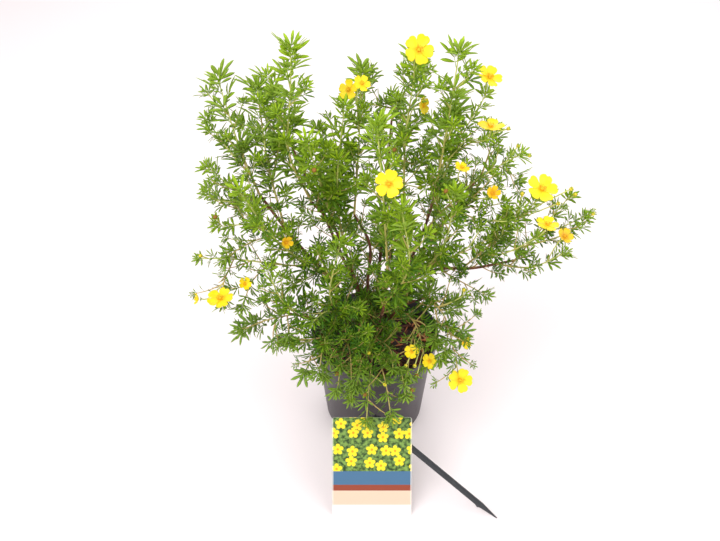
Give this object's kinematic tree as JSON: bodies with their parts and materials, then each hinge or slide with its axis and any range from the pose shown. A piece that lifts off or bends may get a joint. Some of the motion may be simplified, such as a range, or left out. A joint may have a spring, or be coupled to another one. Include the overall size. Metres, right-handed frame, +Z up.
{
  "type": "potted goldfinger shrubby cinquefoil",
  "caption": "Potted flowering shrub: open woody stems with pinnate leaves and yellow five-petalled blooms, in a round nursery pot of bark mulch with a card label.",
  "frame": {"origin": "centre of the pot's base, on the surface it stands on", "axes": "+Z up along the pot's axis, -Y to the front where the label stands, +X to the right of the picture"},
  "size_m": [0.4938, 0.3528, 0.5547],
  "materials": {
    "pot_plastic": "satin moulded",
    "bark_mulch": "rough chips",
    "brown_bark": "rough bark",
    "green_leaf": "softly haired leaf",
    "yellow_petal": "satin petal",
    "label_card": "printed film",
    "stake_plastic": "moulded"
  },
  "bodies": {
    "root": {"pot": "pot_plastic", "potting_mix": "bark_mulch", "woody_framework": "brown_bark", "plant_label": "label_card", "label_stake": "stake_plastic", "bloom_01": "yellow_petal", "bloom_02": "yellow_petal", "bloom_03": "yellow_petal", "bloom_04": "yellow_petal", "bloom_05": "yellow_petal", "bloom_06": "yellow_petal", "bloom_07": "yellow_petal", "bloom_08": "yellow_petal", "bloom_09": "yellow_petal", "bloom_10": "yellow_petal", "bloom_11": "yellow_petal", "bloom_12": "yellow_petal", "bloom_13": "yellow_petal", "bloom_14": "yellow_petal", "bloom_15": "yellow_petal", "bloom_16": "yellow_petal", "bloom_17": "yellow_petal", "bloom_18": "yellow_petal", "bloom_19": "yellow_petal", "bloom_20": "yellow_petal", "spray_left_tip": "green_leaf", "spray_left_high": "green_leaf", "spray_left_tallest": "green_leaf", "spray_left_inner": "green_leaf", "spray_centre_left": "green_leaf", "spray_centre_tall": "green_leaf", "spray_front_tall": "green_leaf", "spray_right_centre_tall": "green_leaf", "spray_right_tall": "green_leaf", "spray_right_high": "green_leaf", "spray_right_upper": "green_leaf", "spray_right_bloom": "green_leaf", "spray_right_far": "green_leaf", "spray_right_outer": "green_leaf", "spray_right_low": "green_leaf", "spray_front_right": "green_leaf", "spray_rim_right": "green_leaf", "spray_rim_front": "green_leaf", "spray_rim_front_left": "green_leaf", "spray_rim_left": "green_leaf", "spray_left_low": "green_leaf", "spray_left_bloom": "green_leaf", "spray_left_side": "green_leaf", "spray_left_outer": "green_leaf", "spray_left_front": "green_leaf", "spray_front_left": "green_leaf", "spray_front_left_tall": "green_leaf", "spray_front_centre": "green_leaf", "spray_front_right_tall": "green_leaf", "spray_back_left": "green_leaf", "spray_back_centre": "green_leaf", "spray_back_right": "green_leaf", "spray_back_right_mid": "green_leaf", "spray_back_low": "green_leaf"}
  },
  "joints": []
}
